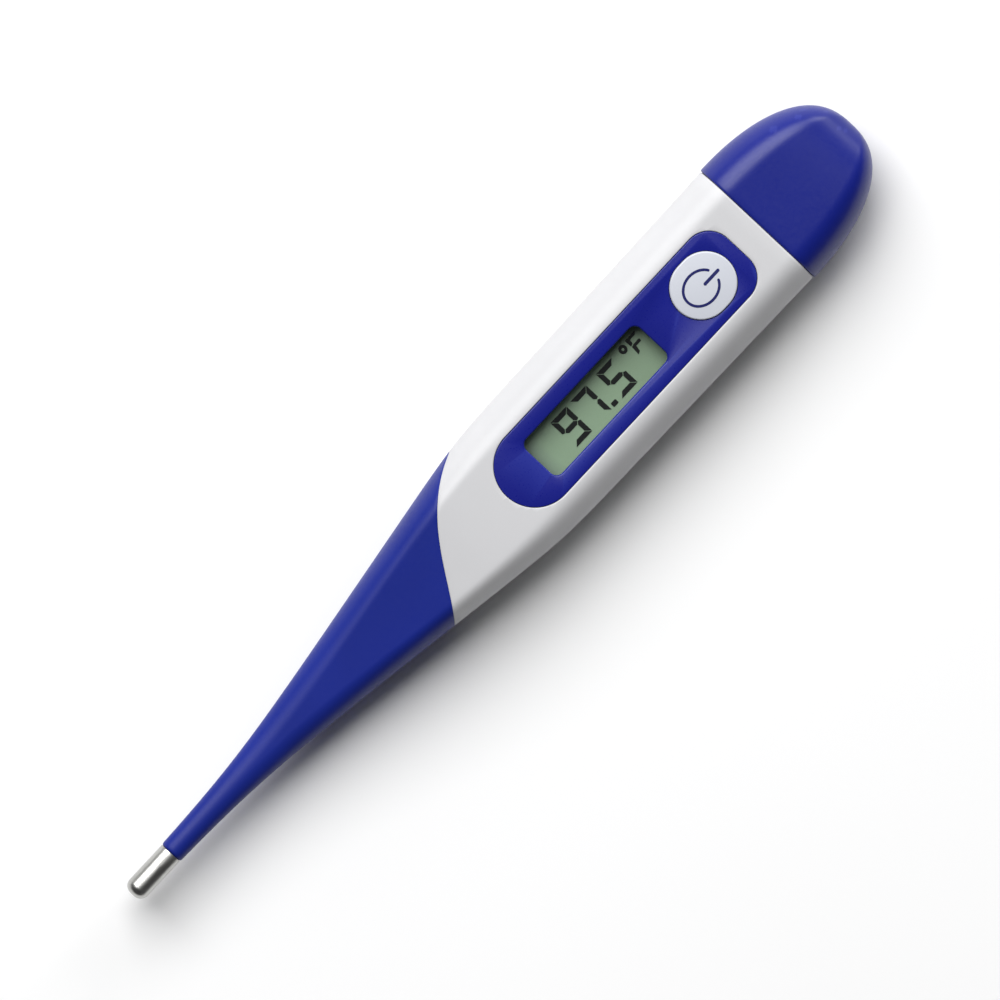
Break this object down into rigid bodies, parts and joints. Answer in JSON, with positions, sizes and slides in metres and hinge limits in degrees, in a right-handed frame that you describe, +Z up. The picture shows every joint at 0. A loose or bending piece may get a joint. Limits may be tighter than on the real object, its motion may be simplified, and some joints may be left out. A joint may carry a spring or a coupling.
{
  "type": "digital thermometer",
  "caption": "Pen-shaped digital thermometer with a flexible probe, steel tip, liquid-crystal window, round power key and pull-off battery cap.",
  "frame": {"origin": "centre of the bounding box at its bottom, on the surface the pen lies on", "axes": "+X along the pen from the steel tip to the battery cap, +Y to the side that the blue skin reaches farthest back, +Z up out of the display"},
  "size_m": [0.13, 0.0192, 0.0114],
  "materials": {
    "white_abs": "fine satin moulded ABS",
    "white_key": "smooth semi-gloss moulded key",
    "blue_soft": "satin thermoplastic rubber",
    "blue_cap": "satin moulded plastic",
    "blue_panel": "smooth printed panel",
    "clear_lens": "clear acrylic",
    "dark_foam": "adhesive foam",
    "silicone": "translucent silicone",
    "lead_varnish": "varnished copper",
    "chassis_plastic": "natural moulded plastic",
    "frame_plastic": "moulded plastic",
    "board_green": "solder mask over glass epoxy",
    "lcd_film": "grey-green polarising film",
    "lcd_glass": "thin glass",
    "foil": "matt foil",
    "zebra_rubber": "striped silicone",
    "black_resin": "cured resin",
    "chip_ceramic": "ceramic chip",
    "chip_tan": "ceramic chip",
    "solder": "bright solder",
    "switch_plastic": "moulded nylon",
    "spring_steel": "bright spring steel",
    "brass": "bright brass",
    "white_ceramic": "silvered piezo ceramic",
    "gold_contact": "gold-flashed phosphor bronze",
    "cell_steel": "nickel-plated steel",
    "black_rubber": "nylon grommet",
    "probe_steel": "drawn stainless steel",
    "potting": "cured resin"
  },
  "bodies": {
    "handle": {"housing_shell": "white_abs", "sleeve_base": "blue_soft", "display_panel": "blue_panel", "display_lens": "clear_lens", "lens_adhesive": "dark_foam", "key_seal": "silicone", "lead_wires": "lead_varnish"},
    "key": {"power_key": "white_key"},
    "circuit": {"circuit_chassis": "chassis_plastic", "circuit_board": "board_green", "lcd_frame": "frame_plastic", "lcd_polariser": "lcd_film", "lcd_front_glass": "lcd_glass", "lcd_rear_glass": "lcd_glass", "lcd_reflector": "foil", "zebra_strip": "zebra_rubber", "controller_chip": "black_resin", "chip_resistors": "chip_ceramic", "chip_capacitors": "chip_tan", "lead_solder": "solder", "switch_base": "switch_plastic", "switch_dome": "spring_steel", "switch_cover": "spring_steel", "buzzer_disc": "brass", "buzzer_ceramic": "white_ceramic", "buzzer_wires": "lead_varnish", "positive_contact": "gold_contact", "negative_contact": "gold_contact", "cell_can": "cell_steel", "cell_gasket": "black_rubber", "cell_cup": "cell_steel"},
    "stem": {"switch_stem": "switch_plastic"},
    "cap": {"battery_cap": "blue_cap", "cap_seal_ring": "silicone"},
    "flex_rear": {"sleeve_flex_rear": "blue_soft"},
    "flex_front": {"sleeve_flex_front": "blue_soft"},
    "tip": {"sleeve_collar": "blue_soft", "probe_tip": "probe_steel", "thermistor": "black_resin", "tip_potting": "potting"}
  },
  "joints": [
    {"name": "key_press", "type": "slide", "parent": "handle", "child": "key", "axis": [0, 0, -1], "range_m": [0, 0.00035], "stiffness_N_per_m": 400},
    {"name": "circuit_pull", "type": "slide", "parent": "handle", "child": "circuit", "axis": [1, 0, 0], "range_m": [0, 0.01], "deforming": ["lead_wires"]},
    {"name": "stem_press", "type": "slide", "parent": "circuit", "child": "stem", "axis": [0, 0, -1], "range_m": [0, 0.00035], "deforming": ["switch_dome"]},
    {"name": "cap_pull", "type": "slide", "parent": "circuit", "child": "cap", "axis": [1, 0, 0], "range_m": [0, 0.02]},
    {"name": "bend_rear", "type": "hinge", "parent": "handle", "child": "flex_rear", "pos_m": [-0.037, 0, 0.0055], "axis": [0, 1, 0], "range_deg": [-15, 15], "stiffness_Nm_per_rad": 0.05, "deforming": ["lead_wires"]},
    {"name": "bend_mid", "type": "hinge", "parent": "flex_rear", "child": "flex_front", "pos_m": [-0.045, 0, 0.0055], "axis": [0, 1, 0], "range_deg": [-15, 15], "deforming": ["lead_wires"]},
    {"name": "bend_front", "type": "hinge", "parent": "flex_front", "child": "tip", "pos_m": [-0.0525, 0, 0.0055], "axis": [0, 1, 0], "range_deg": [-15, 15], "deforming": ["lead_wires"]}
  ],
  "couplings": [
    {"joint": "stem_press", "follows": "key_press", "ratio": 1},
    {"joint": "bend_mid", "follows": "bend_rear", "ratio": 1},
    {"joint": "bend_front", "follows": "bend_rear", "ratio": 1}
  ]
}
